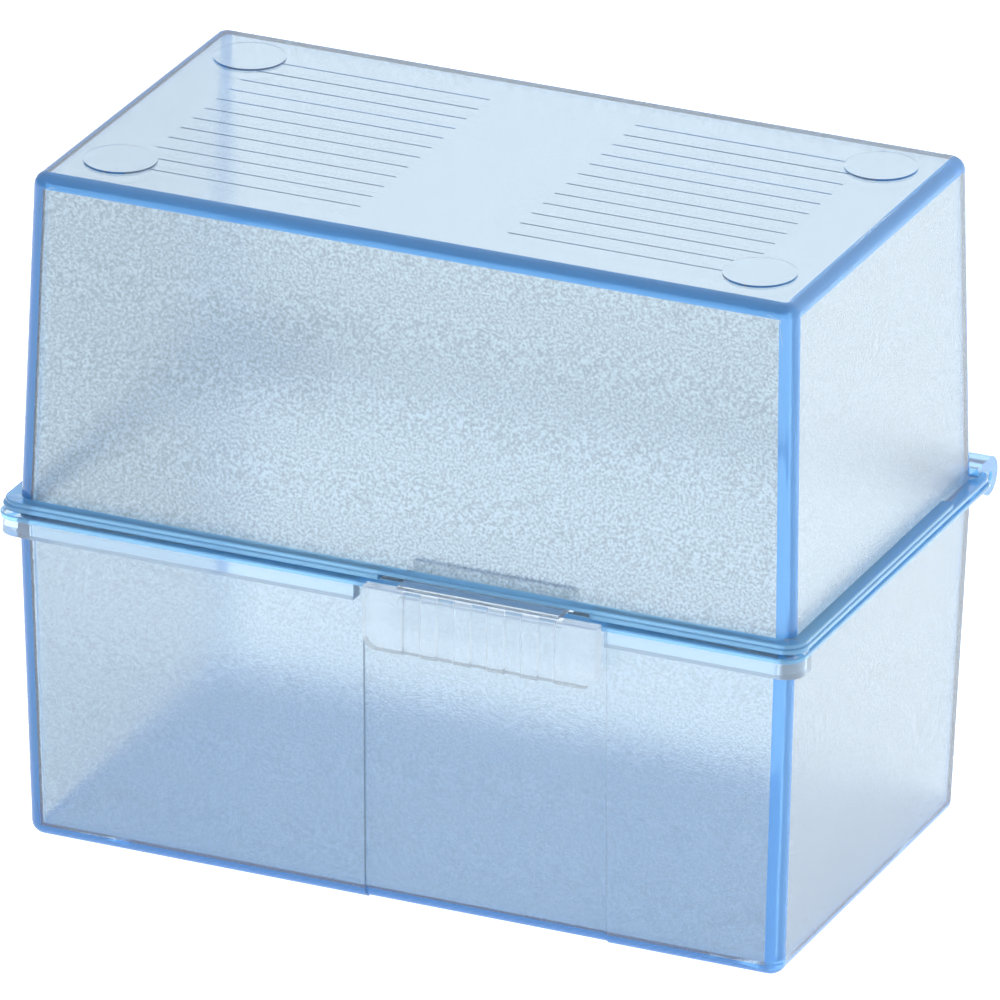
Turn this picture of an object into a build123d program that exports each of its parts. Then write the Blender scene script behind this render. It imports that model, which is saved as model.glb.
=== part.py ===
"""A translucent card index box: base, hinged lid, snap latch and two hinge pins.

The box stands on z = 0, its front faces -Y, and the lid turns about a line along X at the back.
Shapes are first built about the middle of the shells. They are then shifted in Y, so that the
origin is the middle of the footprint with the latch in front and the hinge behind counted in.
All sizes are in millimetres.
"""
import os
from math import radians, tan

from build123d import *

# Both shells
RIM_WIDTH = 115.0            # outside width of the two shells where they meet
BASE_RIM_DEPTH = 66.2
LID_RIM_DEPTH = 65.0
SHELL_HEIGHT = 98.0          # underside of the base to the top of the lid
SPLIT_HEIGHT = 49.2          # the middle of the gap between the two rims
SPLIT_GAP = 0.3
WALL = 1.8
SIDE_DRAFT = 1.4             # degrees that the end walls lean in, away from the rim
FRONT_DRAFT = 1.9            # the same for the front and back walls
CORNER_RADIUS = 2.2          # upright corners of the walls
EDGE_RADIUS = 1.9            # edges round the floor and round the lid's top
CAVITY_RADIUS = 1.0

# Rims
BASE_FLANGE_REACH = 2.2      # how far the base's flange stands out from the wall
BASE_FLANGE_THICKNESS = 0.75
LID_FLANGE_REACH = 2.1
LID_FLANGE_THICKNESS = 0.8
BEAD_REACH = 1.85            # the second, smaller step on top of the lid's flange
BEAD_HEIGHT = 0.6
BEAD_BACK_END = 21.0         # the bead stops here on both sides, short of the hinge
RIM_CORNER_RADIUS = 3.0      # corners of both flanges and of the bead, seen from above
RIM_EDGE_RADIUS = 0.25
APRON_REACH = 2.0            # the skirt under the front of the base's flange
APRON_DROP = 2.3
APRON_RETURN = 3.0           # how far the skirt runs back round each front corner

# Lid top
PAD_X = 47.2
PAD_Y = 21.1
PAD_RADIUS = 5.1
PAD_HEIGHT = 0.3
SOCKET_CLEARANCE = 0.4       # the underside's sockets are this much wider than the pads
SOCKET_DEPTH = 0.4
LINE_COUNT = 12
LINE_PITCH = 3.93
LINE_MIDDLE_Y = -0.7
LINE_INNER_X = 10.9
LINE_OUTER_X = 44.9
LINE_WIDTH = 0.24
LINE_DEPTH = 0.15

# Latch
LATCH_X = 13.3               # the latch sits to the right of the middle
TAB_X = 13.9                 # the tab's own middle, a little further right than its stem
TAB_WIDTH = 34.5
TAB_BOTTOM = 40.3
TAB_TOP = 49.5
TAB_GAP = 0.35               # between the base's flange and the back of the tab
TAB_THICKNESS = 1.9
TAB_CORNER_RADIUS = 2.2
TAB_EDGE_RADIUS = 0.3
GROOVE_COUNT = 5
GROOVE_PITCH = 4.98
GROOVE_WIDTH = 2.5
GROOVE_DEPTH = 0.6
STEM_WIDTH = 23.8
STEM_BOTTOM = 49.35
STEM_TOP = 49.95
KEEPER_TOP = 51.7            # top of the plate that holds the latch inside the lid
KEEPER_THICKNESS = 1.1
KEEPER_GAP = 0.2
HOOK_OVERLAP = 0.4
HOOK_TOP_GAP = 0.3
HOOK_HEIGHT = 1.3
SLOT_WIDTH = 31.3            # opening in the lid's flange behind the tab
SLOT_SIDE_GAP = 0.4          # between the stem and the opening in the lid's wall
STEM_RELIEF_DEPTH = 0.6      # cut into the base's rim so that the stem can dip

# Panel under the latch
PANEL_X = 12.8
PANEL_WIDTH = 36.0
PANEL_DEPTH = 0.45
APRON_OPENING = 37.0

# Hinge
HINGE_Y = 36.3
HINGE_Z = 48.6
KNUCKLE_RADIUS = 2.8
KNUCKLE_LENGTH = 8.0
KNUCKLE_OUTER_X = 58.3
KNUCKLE_GAP = 0.3
PIN_RADIUS = 0.6
PIN_RECESS = 0.3             # the pin stops this far inside the lid's knuckle
PIN_RUNNING_GAP = 0.06
PIN_HOLD_GAP = 0.01
BORE_END_WALL = 1.0          # plastic left at the closed end of the base's bore

# Worked out from the sizes above
BASE_TOP = SPLIT_HEIGHT - SPLIT_GAP / 2
LID_BOTTOM = SPLIT_HEIGHT + SPLIT_GAP / 2
FLANGE_UNDERSIDE = BASE_TOP - BASE_FLANGE_THICKNESS
LID_FLANGE_TOP = LID_BOTTOM + LID_FLANGE_THICKNESS
BASE_FLANGE_FRONT = -(BASE_RIM_DEPTH / 2 + BASE_FLANGE_REACH)
LID_INNER_FRONT = -(LID_RIM_DEPTH / 2 - WALL)
TAB_BACK = BASE_FLANGE_FRONT - TAB_GAP
TAB_FRONT = TAB_BACK - TAB_THICKNESS
HINGE_BACK = HINGE_Y + KNUCKLE_RADIUS
LID_KNUCKLE_INNER_X = KNUCKLE_OUTER_X - KNUCKLE_LENGTH
BASE_KNUCKLE_OUTER_X = LID_KNUCKLE_INNER_X - KNUCKLE_GAP
BASE_KNUCKLE_INNER_X = BASE_KNUCKLE_OUTER_X - KNUCKLE_LENGTH
TO_ORIGIN = Pos(0, -(TAB_FRONT + HINGE_BACK) / 2, 0)
REACH_PAST = 5.0             # how far cutting shapes run past what they cut
SIDES = (-1, 1)


def box_between(low, high):
    """A box from its low corner to its high corner."""
    size = [b - a for a, b in zip(low, high)]
    middle = [(a + b) / 2 for a, b in zip(low, high)]
    return Pos(*middle) * Box(*size)


def x_cylinder(radius, x_from, x_to, y, z):
    """A cylinder along X."""
    return Pos((x_from + x_to) / 2, y, z) * Rot(0, 90, 0) * Cylinder(radius, abs(x_to - x_from))


def tapered_block(rim_depth, rim_z, end_z, inset, radius):
    """A rounded block that narrows from the rim to its closed end, set in from the wall's outside."""
    drop = abs(end_z - rim_z)
    sections = []
    for z, away in ((rim_z, 0.0), (end_z, drop)):
        width = RIM_WIDTH - 2 * inset - 2 * away * tan(radians(SIDE_DRAFT))
        depth = rim_depth - 2 * inset - 2 * away * tan(radians(FRONT_DRAFT))
        sections.append(Pos(0, 0, z) * RectangleRounded(width, depth, radius))
    return loft(sections, ruled=True)


def rim_plate(rim_depth, reach, bottom, top, edge_radius=0.0):
    """A flat plate that stands out all round a shell's wall."""
    outline = RectangleRounded(RIM_WIDTH + 2 * reach, rim_depth + 2 * reach, RIM_CORNER_RADIUS)
    plate = Pos(0, 0, bottom) * extrude(outline, top - bottom)
    if edge_radius:
        rims = plate.faces().filter_by(Axis.Z).edges()
        plate = fillet(rims, edge_radius)
    return plate


def shell_body(rim_depth, rim_z, end_z, inset=0.0):
    """The outside of one shell, with a rounded edge round its closed end."""
    block = tapered_block(rim_depth, rim_z, end_z, inset, CORNER_RADIUS)
    end_face = block.faces().sort_by(lambda face: abs(face.center().Z - end_z))[0]
    return fillet(end_face.edges(), EDGE_RADIUS)


def shell_cavity(rim_depth, rim_z, end_z):
    """The inside of one shell, run past the rim so that it cuts cleanly."""
    into = 1 if end_z > rim_z else -1
    block = tapered_block(rim_depth, rim_z, end_z - into * WALL, WALL, CAVITY_RADIUS)
    mouth = tapered_block(rim_depth, rim_z, rim_z - into * REACH_PAST, WALL, CAVITY_RADIUS)
    return block + mouth


def apron():
    """The skirt under the front of the base's flange, open behind the latch."""
    bottom = FLANGE_UNDERSIDE - APRON_DROP
    skirt = rim_plate(BASE_RIM_DEPTH, APRON_REACH, bottom, FLANGE_UNDERSIDE)
    front = -BASE_RIM_DEPTH / 2
    half = RIM_WIDTH
    skirt &= box_between((-half, front - REACH_PAST, bottom), (half, front + APRON_RETURN, BASE_TOP))
    opening = box_between(
        (PANEL_X - APRON_OPENING / 2, front - REACH_PAST, bottom - REACH_PAST),
        (PANEL_X + APRON_OPENING / 2, front + WALL / 2, FLANGE_UNDERSIDE),
    )
    return skirt - opening


def front_panel():
    """What is cut from the base's front wall to leave the shallow panel under the latch.

    The panel's floor keeps the rounding that the wall has along its bottom edge.
    """
    outside = tapered_block(BASE_RIM_DEPTH, BASE_TOP, 0.0, -WALL, CORNER_RADIUS)
    inside = shell_body(BASE_RIM_DEPTH, BASE_TOP, 0.0, PANEL_DEPTH)
    window = box_between(
        (PANEL_X - PANEL_WIDTH / 2, -BASE_RIM_DEPTH, 0.0),
        (PANEL_X + PANEL_WIDTH / 2, 0.0, FLANGE_UNDERSIDE),
    )
    return (outside - inside) & window


def knuckle_bore(side, outer_x, inner_x, gap):
    """The hole for one hinge pin."""
    return x_cylinder(PIN_RADIUS + gap, side * inner_x, side * outer_x, HINGE_Y, HINGE_Z)


def base_knuckle(side):
    """The base's half of one hinge, joined to the back wall."""
    inner, outer = sorted((side * BASE_KNUCKLE_INNER_X, side * BASE_KNUCKLE_OUTER_X))
    round_part = x_cylinder(KNUCKLE_RADIUS, inner, outer, HINGE_Y, HINGE_Z)
    wall_middle = BASE_RIM_DEPTH / 2 - WALL / 2
    web = box_between((inner, wall_middle, HINGE_Z - KNUCKLE_RADIUS), (outer, HINGE_Y, BASE_TOP))
    bore = knuckle_bore(side, BASE_KNUCKLE_OUTER_X, BASE_KNUCKLE_INNER_X + BORE_END_WALL, PIN_HOLD_GAP)
    return round_part + web - bore


def lid_knuckle(side):
    """The lid's half of one hinge, on a strap that runs back from the flange."""
    inner, outer = sorted((side * LID_KNUCKLE_INNER_X, side * KNUCKLE_OUTER_X))
    round_part = x_cylinder(KNUCKLE_RADIUS, inner, outer, HINGE_Y, HINGE_Z)
    wall_middle = LID_RIM_DEPTH / 2 - WALL / 2
    strap = box_between((inner, wall_middle, LID_BOTTOM), (outer, HINGE_Y, HINGE_Z + KNUCKLE_RADIUS))
    bore = knuckle_bore(side, KNUCKLE_OUTER_X, LID_KNUCKLE_INNER_X, PIN_RUNNING_GAP)
    return round_part + strap - bore


def hinge_notch(side, inner_x, outer_x, clear_y, bottom, top):
    """Room cut in one rim for the other shell's knuckle."""
    low, high = sorted((side * inner_x, side * outer_x))
    return box_between((low, clear_y, bottom), (high, HINGE_BACK + REACH_PAST, top))


def base_shell():
    """The base: drafted walls, flange, front skirt, latch panel, stacking sockets, hinge halves."""
    body = shell_body(BASE_RIM_DEPTH, BASE_TOP, 0.0)
    flange = rim_plate(BASE_RIM_DEPTH, BASE_FLANGE_REACH, FLANGE_UNDERSIDE, BASE_TOP, RIM_EDGE_RADIUS)
    for side in SIDES:
        flange -= hinge_notch(
            side, BASE_KNUCKLE_OUTER_X, RIM_WIDTH, BASE_RIM_DEPTH / 2 + KNUCKLE_GAP / 3,
            FLANGE_UNDERSIDE - REACH_PAST, BASE_TOP + REACH_PAST,
        )
    body += [flange, apron()]
    body -= [front_panel(), shell_cavity(BASE_RIM_DEPTH, BASE_TOP, 0.0)]
    relief_width = STEM_WIDTH + 2 * SLOT_SIDE_GAP
    body -= box_between(
        (LATCH_X - relief_width / 2, -BASE_RIM_DEPTH / 2, BASE_TOP - STEM_RELIEF_DEPTH),
        (LATCH_X + relief_width / 2, 0.0, BASE_TOP + REACH_PAST),
    )
    socket = Cylinder(PAD_RADIUS + SOCKET_CLEARANCE, 2 * SOCKET_DEPTH)
    body -= [Pos(sx * PAD_X, sy * PAD_Y, 0) * socket for sx in SIDES for sy in SIDES]
    return body + [base_knuckle(side) for side in SIDES]


def lid_bead():
    """The upper step of the lid's flange, rounded off where it stops before the hinge."""
    width = RIM_WIDTH + 2 * BEAD_REACH
    outline = RectangleRounded(width, LID_RIM_DEPTH + 2 * BEAD_REACH, RIM_CORNER_RADIUS)
    outline &= Pos(0, BEAD_BACK_END - LID_RIM_DEPTH) * Rectangle(2 * width, 2 * LID_RIM_DEPTH)
    outline = fillet(outline.vertices().sort_by(Axis.Y)[-2:], BEAD_REACH / 2)
    bead = Pos(0, 0, LID_BOTTOM) * extrude(outline, LID_FLANGE_THICKNESS + BEAD_HEIGHT)
    top_face = bead.faces().sort_by(Axis.Z)[-1]
    return fillet(top_face.edges(), RIM_EDGE_RADIUS)


def engraved_lines():
    """Two groups of fine lines across the lid's top, with a plain strip between them."""
    first_y = LINE_MIDDLE_Y - LINE_PITCH * (LINE_COUNT - 1) / 2
    line = Box(LINE_OUTER_X - LINE_INNER_X, LINE_WIDTH, 2 * LINE_DEPTH)
    middle_x = (LINE_OUTER_X + LINE_INNER_X) / 2
    return [
        Pos(side * middle_x, first_y + LINE_PITCH * row, SHELL_HEIGHT) * line
        for side in SIDES
        for row in range(LINE_COUNT)
    ]


def stacking_pads():
    """Four low round pads near the corners of the lid's top."""
    pad = Cylinder(PAD_RADIUS, PAD_HEIGHT + WALL / 2)
    middle_z = SHELL_HEIGHT + PAD_HEIGHT / 2 - WALL / 4
    return [Pos(sx * PAD_X, sy * PAD_Y, middle_z) * pad for sx in SIDES for sy in SIDES]


def latch_slot():
    """The opening for the latch's stem: wide through the flange, narrower through the wall."""
    flange_front = -(LID_RIM_DEPTH / 2 + LID_FLANGE_REACH + REACH_PAST)
    wall_face = -LID_RIM_DEPTH / 2
    outer = box_between(
        (LATCH_X - SLOT_WIDTH / 2, flange_front, LID_BOTTOM - REACH_PAST),
        (LATCH_X + SLOT_WIDTH / 2, wall_face, LID_FLANGE_TOP),
    )
    inner_width = STEM_WIDTH + 2 * SLOT_SIDE_GAP
    inner = box_between(
        (LATCH_X - inner_width / 2, wall_face, LID_BOTTOM - REACH_PAST),
        (LATCH_X + inner_width / 2, LID_INNER_FRONT + WALL, LID_FLANGE_TOP),
    )
    return [outer, inner]


def lid_shell():
    """The lid: drafted walls, stepped flange, engraved top with pads, latch slot, hinge halves."""
    body = shell_body(LID_RIM_DEPTH, LID_BOTTOM, SHELL_HEIGHT)
    body -= engraved_lines()
    body += stacking_pads()
    flange = rim_plate(LID_RIM_DEPTH, LID_FLANGE_REACH, LID_BOTTOM, LID_FLANGE_TOP, RIM_EDGE_RADIUS)
    for side in SIDES:
        flange -= hinge_notch(
            side, BASE_KNUCKLE_INNER_X - KNUCKLE_GAP, LID_KNUCKLE_INNER_X,
            LID_RIM_DEPTH / 2 + KNUCKLE_GAP, LID_BOTTOM - REACH_PAST, LID_FLANGE_TOP + REACH_PAST,
        )
    body += [flange, lid_bead()]
    body -= shell_cavity(LID_RIM_DEPTH, LID_BOTTOM, SHELL_HEIGHT)
    body -= latch_slot()
    return body + [lid_knuckle(side) for side in SIDES]


def latch_tab():
    """The outer plate of the latch, with upright grip grooves and rounded lower corners."""
    height = TAB_TOP - TAB_BOTTOM
    middle_z = (TAB_TOP + TAB_BOTTOM) / 2
    outline = Rectangle(TAB_WIDTH, height)
    lower = outline.vertices().sort_by(Axis.Y)[:2]
    outline = fillet(lower, TAB_CORNER_RADIUS)
    plate = extrude(outline, TAB_THICKNESS)
    plate = fillet(plate.faces().sort_by(Axis.Z)[-1].edges(), TAB_EDGE_RADIUS)
    upright = Plane(origin=(TAB_X, TAB_BACK, middle_z), x_dir=(1, 0, 0), z_dir=(0, -1, 0))
    tab = upright * plate
    groove = Box(GROOVE_WIDTH, 2 * GROOVE_DEPTH, height + REACH_PAST)
    groove_span = GROOVE_PITCH * (GROOVE_COUNT - 1)
    return tab - [
        Pos(TAB_X - groove_span / 2 + GROOVE_PITCH * n, TAB_FRONT, middle_z) * groove
        for n in range(GROOVE_COUNT)
    ]


def latch():
    """The latch: tab outside, thin stem through the lid, keeper plate inside, hook under the flange."""
    left = LATCH_X - STEM_WIDTH / 2
    right = LATCH_X + STEM_WIDTH / 2
    keeper_front = LID_INNER_FRONT + KEEPER_GAP
    keeper_back = keeper_front + KEEPER_THICKNESS
    stem = box_between((left, TAB_BACK - TAB_THICKNESS / 2, STEM_BOTTOM), (right, keeper_back, STEM_TOP))
    keeper = box_between((left, keeper_front, STEM_BOTTOM), (right, keeper_back, KEEPER_TOP))
    hook_top = FLANGE_UNDERSIDE - HOOK_TOP_GAP
    hook_tip = BASE_FLANGE_FRONT + HOOK_OVERLAP
    hook_outline = Polyline(
        (TAB_BACK, hook_top - HOOK_HEIGHT), (TAB_BACK, hook_top), (hook_tip, hook_top), close=True,
    )
    hook_side = Plane(origin=(left, 0, 0), x_dir=(0, 1, 0), z_dir=(1, 0, 0))
    hook = hook_side * extrude(make_face(hook_outline), STEM_WIDTH)
    return latch_tab() + [stem, keeper, hook]


def hinge_pin(side):
    """One steel pin, held in the base's knuckle and running in the lid's."""
    inner = side * (BASE_KNUCKLE_INNER_X + BORE_END_WALL)
    outer = side * (KNUCKLE_OUTER_X - PIN_RECESS)
    return x_cylinder(PIN_RADIUS, inner, outer, HINGE_Y, HINGE_Z)


def write_parts():
    """Write each piece to its own file, in the frame of the whole box."""
    os.makedirs("parts", exist_ok=True)
    pieces = {
        "base_shell": base_shell(),
        "lid_shell": lid_shell(),
        "latch": latch(),
        "hinge_pin_left": hinge_pin(-1),
        "hinge_pin_right": hinge_pin(1),
    }
    for name, piece in pieces.items():
        piece = TO_ORIGIN * piece
        export_step(piece, f"parts/{name}.step")
        bounds = piece.bounding_box()
        print(name, "solids", len(piece.solids()), "volume", round(piece.volume, 1), bounds)


write_parts()
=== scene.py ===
"""Looks of the translucent card index box: blue plastic materials, soft studio light and camera.

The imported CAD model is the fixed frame. All positions are in metres, in its frame: the box stands on
z = 0, its latch faces -Y and its hinge is at the back.
"""

import math

import bpy
from mathutils import Matrix, Vector


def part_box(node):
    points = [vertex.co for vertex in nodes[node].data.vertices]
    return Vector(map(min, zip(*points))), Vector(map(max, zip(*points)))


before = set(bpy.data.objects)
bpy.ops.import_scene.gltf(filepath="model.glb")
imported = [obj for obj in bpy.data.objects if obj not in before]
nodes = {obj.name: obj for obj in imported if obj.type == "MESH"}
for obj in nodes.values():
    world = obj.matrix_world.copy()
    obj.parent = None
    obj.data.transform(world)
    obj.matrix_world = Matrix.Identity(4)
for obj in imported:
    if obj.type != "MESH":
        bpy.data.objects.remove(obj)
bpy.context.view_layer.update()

# Camera
CAMERA_AZIMUTH = 23.52        # degrees to the right of straight in front
CAMERA_ELEVATION = 23.07
CAMERA_ROLL = 0.74
CAMERA_DISTANCE = 2.2135
CAMERA_LENS = 576.0           # a long lens, so upright and receding edges stay nearly parallel
SENSOR_WIDTH = 36.0
AIM_RIGHT = 0.00105           # the aim point, measured across the picture from the origin
AIM_UP = 0.04444

# Plastic
PLASTIC_IOR = 1.49
CLEAR_IOR = 1.25              # lower than real plastic, which keeps the latch's thin edges light
BLUE_PASSED = (0.10, 0.58, 0.89)   # what a long path through the plastic leaves of each colour
BLUE_DENSITY = 60.0                # per metre, for the above
CLEAR_PASSED = (0.55, 0.80, 0.95)
CLEAR_DENSITY = 25.0
FROSTED_ROUGHNESS = 0.25
POLISHED_ROUGHNESS = 0.08
PANEL_TRANSMISSION = 0.85
EDGE_TRANSMISSION = 0.40

# The painted depth of blue runs from the panels (0) through a light blue (0.5) to the deep blue of
# edges (1); the deeper blue stands in for light that runs a long way through the plastic at edges and
# rims, and for shade
PANEL_COLOUR = (0.84, 0.91, 0.97)
PAINTED_MID_BLUE = (0.25, 0.62, 1.0)
PAINTED_EDGE_BLUE = (0.01, 0.18, 0.66)
# painted deep blue on rounded outer edges, where light runs a long way through the plastic
EDGE_PAINTED_DEPTH = 0.8
# painted blue on the rims, and only a little on the thin skirt, where light runs a long way through
# the plastic
RIM_PAINTED_DEPTH = 0.5
SKIRT_PAINTED_DEPTH = 0.1
# painted shade: the base's floor a bluer, darker colour, as where it lies in shade under the box
FLOOR_PAINTED_SHADE = 0.4
RELIEF_PAINTED_SHADE = 0.3             # painted shade in the engraved lines and on the rims of the pads on the lid

# Grain: how strongly each node's outer faces are textured, for faces across X, Y and Z. The same
# strength paints shade: the more textured faces, such as the lid's front, come out greyer and the
# lid's top lighter
GRAIN_AND_SHADE_X_Y_Z = {"base_shell": (0.9, 0.55, 0.5), "lid_shell": (0.8, 1.0, 0.2)}
GRAIN_AND_SHADE_GREY = (0.40, 0.43, 0.43)   # grey of the grain's specks, and painted shade that makes the more textured faces greyer
SPECKLE_SCALE = 2600.0
SPECKLE_RANGE = (0.38, 0.62)  # the part of the noise that the specks use
SPECKLE_LEAST = 0.35          # how much of the grey is left in the lightest specks
BUMP_SCALE = 4200.0
BUMP_DISTANCE = 0.00006

# Where the faces are told apart
FLAT_WITHIN = math.radians(3.0)    # a wall's draft is less than this, a rounded edge's slope is more
FLANGE_REACH = 0.0018         # a little less than the rims stand out from the walls
BACK_REACH = 0.0045           # the same behind, where the knuckles add to it
FLANGE_UNDERSIDE = 0.0482     # below this height the front of the base's rim is the thin skirt
FLOOR_THICKNESS = 0.0022
RELIEF_DEPTH = 0.0005         # lines and pads lie within this much of the lid's highest point
PAD_HEIGHT = 0.0003
FLAT_TOLERANCE = 0.00005

# Light
BRIGHT_WAY = (0.6, 0.8, 0.2)  # the brightest part of the room: behind, to the right, a little up
BRIGHT_STRENGTH = 1.45
DIM_STRENGTH = 0.35           # the opposite way
FLOOR_SIZE = 8.0
FLOOR_GLOW = 1.0
FLOOR_DROP = 0.0003           # keeps the floor just clear of the box's underside
LIGHT_BOUNCES = 12            # a path crosses many plastic surfaces before it leaves the box


def principled(name):
    """A new material: its node tree, its shader and its output."""
    material = bpy.data.materials.new(name)
    material.use_nodes = True
    tree = material.node_tree
    shader = tree.nodes["Principled BSDF"]
    output = tree.nodes["Material Output"]
    return material, tree, shader, output


def add_node(tree, kind, **settings):
    """A node of the given kind, with its own settings and its unlinked inputs set by name."""
    node = tree.nodes.new(kind)
    for key, value in settings.items():
        if key in node.inputs:
            node.inputs[key].default_value = value
        else:
            setattr(node, key, value)
    return node


def absorb(tree, output, passed, density):
    """Colour the plastic by the length of the light's way through it."""
    volume = add_node(tree, "ShaderNodeVolumeAbsorption", Color=(*passed, 1.0), Density=density)
    tree.links.new(volume.outputs["Volume"], output.inputs["Volume"])


def rim_band():
    """The heights between which the two shells' flanges, skirt and knuckles lie."""
    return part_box("lid_shell")[0].z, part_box("base_shell")[1].z


def painted_face_tint(node, top, face, outward, flat, on_rim, at_back):
    """How deep a blue is painted on one face: painted deep blue on rounded outer edges and rims, where
    light runs a long way through the plastic, and painted shade on the base's floor and in the lid's
    lines.
    """
    level = abs(face.normal.z) > math.cos(FLAT_WITHIN)
    height = face.center.z
    # painted blue on the rims, fainter on the thin skirt in front
    if on_rim:
        return SKIRT_PAINTED_DEPTH if height < FLANGE_UNDERSIDE and not at_back else RIM_PAINTED_DEPTH
    near_top = node.name == "lid_shell" and height > top - RELIEF_DEPTH
    below_top = height < top - PAD_HEIGHT - FLAT_TOLERANCE
    # painted shade in the lid's engraved lines and on the rims of its pads
    if near_top and flat and (below_top or not level):
        return RELIEF_PAINTED_SHADE
    # painted shade on the base's floor
    if level and height < FLOOR_THICKNESS:
        return FLOOR_PAINTED_SHADE
    # painted deep blue on the rounded outer edges
    return EDGE_PAINTED_DEPTH if outward and not flat else 0.0


def mark_faces(node, strengths):
    """Store on each face how strongly it is textured and greyed by painted shade, and how deep a blue
    is painted on it.
    """
    mesh = node.data
    low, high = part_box(node.name)
    middle = (low + high) / 2
    half_width = (high.x - low.x) / 2
    rim_low, rim_high = rim_band()
    grain_and_shade = []
    painted_tint = []
    for face in mesh.polygons:
        centre = face.center
        facing = [abs(c) for c in face.normal]
        axis = facing.index(max(facing))
        outward = face.normal.dot(centre - middle) > 0
        flat = facing[axis] > math.cos(FLAT_WITHIN)
        at_side = abs(centre.x - middle.x) > half_width - FLANGE_REACH
        at_front = centre.y < low.y + FLANGE_REACH
        at_back = centre.y > high.y - BACK_REACH
        on_rim = rim_low < centre.z < rim_high and (at_side or at_front or at_back)
        # grain strength, which also paints shade: the more textured faces come out greyer
        grain_and_shade.append(strengths[axis] if outward and flat and not on_rim else 0.0)
        painted_tint.append(painted_face_tint(node, high.z, face, outward, flat, on_rim, at_back))
    for name, values in (("grain_and_shade", grain_and_shade), ("painted_tint", painted_tint)):
        mesh.attributes.new(name, "FLOAT", "FACE").data.foreach_set("value", values)


def map_range(tree, source, to_min, to_max, from_min=0.0, from_max=1.0):
    """Spread a value from one range over another, and return where it comes out."""
    node = add_node(tree, "ShaderNodeMapRange")
    limits = {"From Min": from_min, "From Max": from_max, "To Min": to_min, "To Max": to_max}
    for name, limit in limits.items():
        node.inputs[name].default_value = limit
    tree.links.new(source, node.inputs["Value"])
    return node.outputs["Result"]


def noise(tree, scale):
    """Fine noise fixed to the plastic, and where it comes out."""
    place = add_node(tree, "ShaderNodeNewGeometry")
    grain = add_node(tree, "ShaderNodeTexNoise", Scale=scale, Detail=2.0)
    tree.links.new(place.outputs["Position"], grain.inputs["Vector"])
    return grain.outputs["Fac"]


def painted_tint_colour(tree, painted_tint):
    """The colour for a depth of painted blue: the plain panel colour, then painted light blue and
    painted deep blue.
    """
    ramp = add_node(tree, "ShaderNodeValToRGB")
    steps = ramp.color_ramp.elements
    steps[0].color = (*PANEL_COLOUR, 1.0)
    steps[1].color = (*PAINTED_EDGE_BLUE, 1.0)
    steps.new(0.5).color = (*PAINTED_MID_BLUE, 1.0)
    tree.links.new(painted_tint, ramp.inputs["Fac"])
    return ramp.outputs["Color"]


def speckled_and_shaded_colour(tree, colour, grain_and_shade):
    """The colour, greyed in fine specks where the face is textured: partly grain, partly painted shade
    on the more textured faces.
    """
    specks = map_range(tree, noise(tree, SPECKLE_SCALE), SPECKLE_LEAST, 1.0, *SPECKLE_RANGE)
    amount = add_node(tree, "ShaderNodeMath", operation="MULTIPLY")
    tree.links.new(specks, amount.inputs[0])
    tree.links.new(grain_and_shade, amount.inputs[1])
    greyed = add_node(tree, "ShaderNodeMix", data_type="RGBA")
    factor, plain, grain_and_shade_socket = (greyed.inputs[index] for index in (0, 6, 7))
    grain_and_shade_socket.default_value = (*GRAIN_AND_SHADE_GREY, 1.0)
    tree.links.new(amount.outputs["Value"], factor)
    tree.links.new(colour, plain)
    return greyed.outputs[2]


def frosted_plastic(name):
    """Translucent blue plastic: fine grain on the textured faces, polished elsewhere, with painted
    deep blue on edges and rims and painted shade on the base's floor, in the lid's lines and on the
    greyer textured faces.
    """
    material, tree, shader, output = principled(name)
    shader.inputs["IOR"].default_value = PLASTIC_IOR
    painted_tint = add_node(tree, "ShaderNodeAttribute", attribute_name="painted_tint").outputs["Fac"]
    grain_and_shade = add_node(tree, "ShaderNodeAttribute", attribute_name="grain_and_shade").outputs["Fac"]
    colour = speckled_and_shaded_colour(tree, painted_tint_colour(tree, painted_tint), grain_and_shade)
    tree.links.new(colour, shader.inputs["Base Color"])
    # less light passes where a deeper blue is painted
    through = map_range(tree, painted_tint, PANEL_TRANSMISSION, EDGE_TRANSMISSION)
    tree.links.new(through, shader.inputs["Transmission Weight"])
    rough = map_range(tree, grain_and_shade, POLISHED_ROUGHNESS, FROSTED_ROUGHNESS)
    tree.links.new(rough, shader.inputs["Roughness"])
    bump = add_node(tree, "ShaderNodeBump", Distance=BUMP_DISTANCE)
    tree.links.new(noise(tree, BUMP_SCALE), bump.inputs["Height"])
    tree.links.new(grain_and_shade, bump.inputs["Strength"])
    tree.links.new(bump.outputs["Normal"], shader.inputs["Normal"])
    absorb(tree, output, BLUE_PASSED, BLUE_DENSITY)
    return material


def clear_plastic():
    """The latch: clear colourless plastic."""
    material, tree, shader, output = principled("clear_latch")
    shader.inputs["Base Color"].default_value = (0.93, 0.97, 1.0, 1.0)
    shader.inputs["Transmission Weight"].default_value = 0.88
    shader.inputs["IOR"].default_value = CLEAR_IOR
    shader.inputs["Roughness"].default_value = 0.14
    absorb(tree, output, CLEAR_PASSED, CLEAR_DENSITY)
    return material


def pin_steel():
    """The hinge pins: plain drawn steel."""
    material, tree, shader, output = principled("pin_steel")
    shader.inputs["Base Color"].default_value = (0.55, 0.56, 0.58, 1.0)
    shader.inputs["Metallic"].default_value = 1.0
    shader.inputs["Roughness"].default_value = 0.35
    return material


def assign(node, material):
    """Give a CAD node one material."""
    node.data.materials.clear()
    node.data.materials.append(material)


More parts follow.
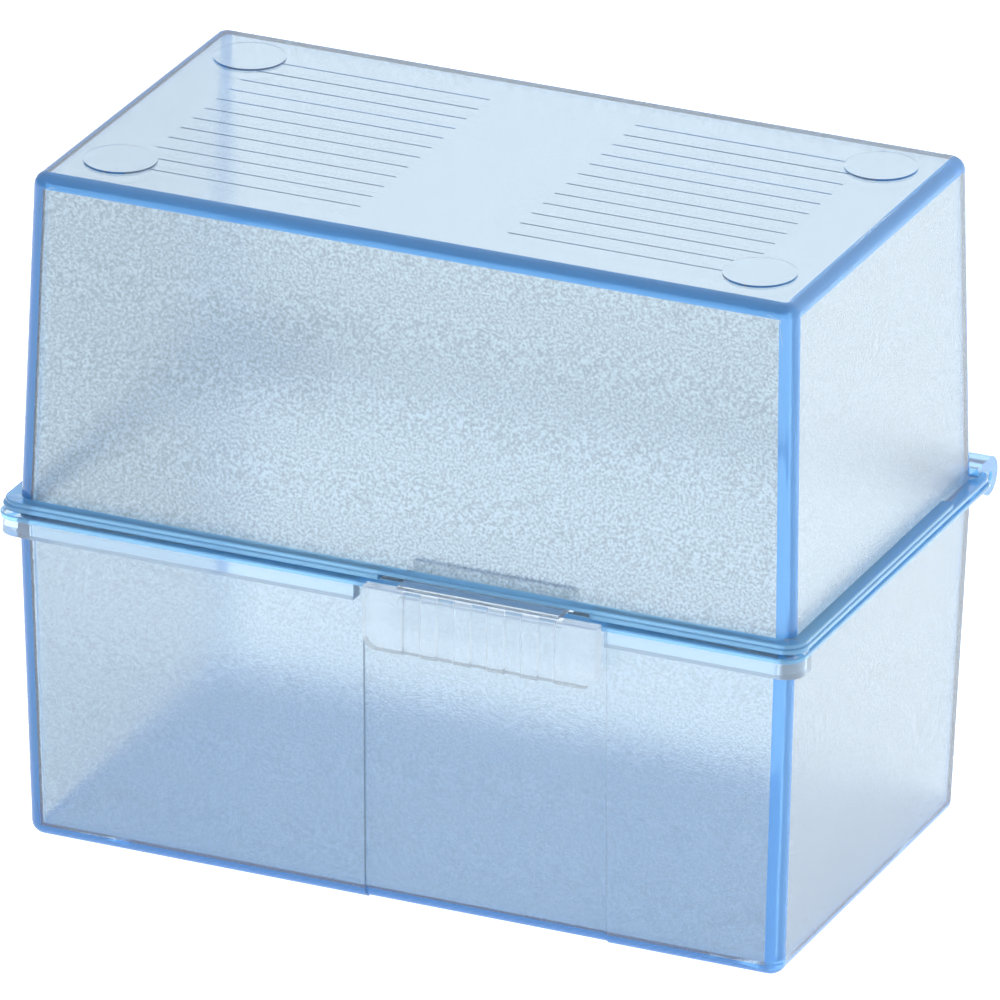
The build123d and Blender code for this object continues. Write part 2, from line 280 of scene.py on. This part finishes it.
def add_floor():
    """A plain, nearly white floor that glows a little, so the shadow on it stays faint."""
    bpy.ops.mesh.primitive_plane_add(size=FLOOR_SIZE, location=(0, 0, -FLOOR_DROP))
    floor = bpy.context.object
    floor.name = "floor"
    material, tree, shader, output = principled("floor")
    shader.inputs["Base Color"].default_value = (0.9, 0.9, 0.9, 1.0)
    shader.inputs["Roughness"].default_value = 1.0
    shader.inputs["Emission Color"].default_value = (1.0, 1.0, 1.0, 1.0)
    shader.inputs["Emission Strength"].default_value = FLOOR_GLOW
    floor.data.materials.append(material)


def add_world():
    """White light from all round, brighter behind the box and above it than on the camera's side."""
    world = bpy.data.worlds.new("studio")
    world.use_nodes = True
    bpy.context.scene.world = world
    tree = world.node_tree
    background = tree.nodes["Background"]
    background.inputs["Color"].default_value = (1.0, 1.0, 1.0, 1.0)
    place = add_node(tree, "ShaderNodeTexCoord")
    along = add_node(tree, "ShaderNodeVectorMath", operation="DOT_PRODUCT")
    along.inputs[1].default_value = Vector(BRIGHT_WAY).normalized()
    tree.links.new(place.outputs["Generated"], along.inputs[0])
    strength = add_node(tree, "ShaderNodeMapRange")
    strength.inputs["From Min"].default_value = -1.0
    strength.inputs["To Min"].default_value = DIM_STRENGTH
    strength.inputs["To Max"].default_value = BRIGHT_STRENGTH
    tree.links.new(along.outputs["Value"], strength.inputs["Value"])
    tree.links.new(strength.outputs["Result"], background.inputs["Strength"])


def add_camera():
    """The camera at the photograph's angle."""
    azimuth = math.radians(CAMERA_AZIMUTH)
    elevation = math.radians(CAMERA_ELEVATION)
    roll = math.radians(CAMERA_ROLL)
    back = Vector((
        math.sin(azimuth) * math.cos(elevation),
        -math.cos(azimuth) * math.cos(elevation),
        math.sin(elevation),
    ))
    level_right = Vector((0, 0, 1)).cross(back).normalized()
    level_up = back.cross(level_right)
    right = math.cos(roll) * level_right + math.sin(roll) * level_up
    up = math.cos(roll) * level_up - math.sin(roll) * level_right
    aim = AIM_RIGHT * right + AIM_UP * up - Vector((0, 0.000775, 0))
    data = bpy.data.cameras.new("camera")
    data.sensor_width = SENSOR_WIDTH
    data.lens = CAMERA_LENS
    data.clip_start = 0.1
    data.clip_end = 20.0
    camera = bpy.data.objects.new("camera", data)
    turn = Matrix((right, up, back)).transposed()
    camera.matrix_world = Matrix.Translation(aim + back * CAMERA_DISTANCE) @ turn.to_4x4()
    bpy.context.scene.collection.objects.link(camera)
    bpy.context.scene.camera = camera


for node_name, strengths in GRAIN_AND_SHADE_X_Y_Z.items():
    mark_faces(nodes[node_name], strengths)
    assign(nodes[node_name], frosted_plastic("frosted_" + node_name))
assign(nodes["latch"], clear_plastic())
for node_name in ("hinge_pin_left", "hinge_pin_right"):
    assign(nodes[node_name], pin_steel())
add_floor()
add_world()
add_camera()

scene = bpy.context.scene
scene.view_settings.view_transform = "Standard"
scene.cycles.max_bounces = LIGHT_BOUNCES
scene.cycles.transmission_bounces = LIGHT_BOUNCES
